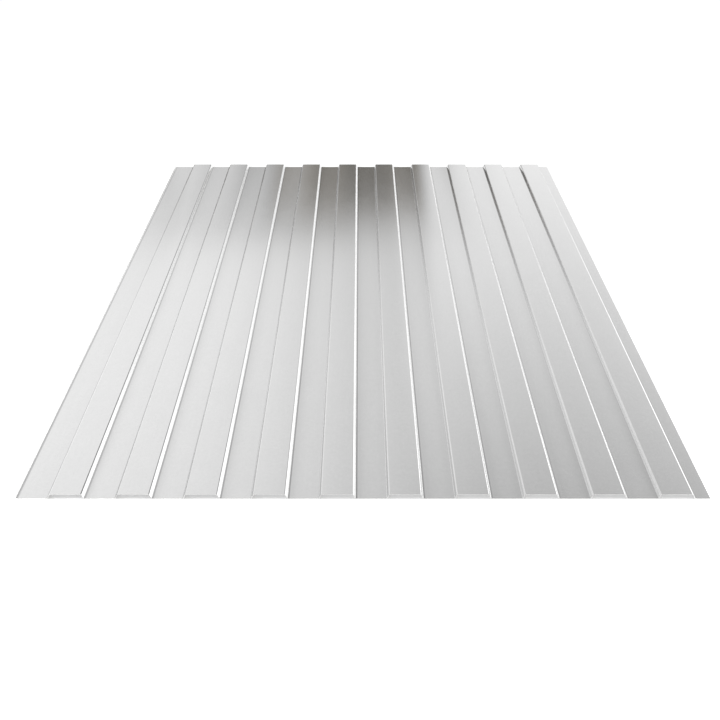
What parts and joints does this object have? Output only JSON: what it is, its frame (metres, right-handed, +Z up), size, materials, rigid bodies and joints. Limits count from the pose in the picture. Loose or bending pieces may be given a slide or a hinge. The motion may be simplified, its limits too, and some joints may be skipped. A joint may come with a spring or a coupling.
{
  "type": "trapezoidal corrugated metal sheet",
  "caption": "Galvanised steel cladding sheet with low flat-topped trapezoidal ribs, an upturned lap lip on one long edge and a plain flat on the other.",
  "frame": {"origin": "on the plane of the trough undersides, midway between the two cut ends and midway between the two long edges", "axes": "+Y along the ribs, +X across them from the lap lip towards the plain edge, +Z up out of the rib tops"},
  "size_m": [1.1784, 2, 0.0087],
  "materials": {
    "galvanised_steel": "bright zinc-coated cold-rolled steel, satin, clean and unpainted on both faces"
  },
  "bodies": {
    "root": {"profiled_sheet": "galvanised_steel"}
  },
  "joints": []
}
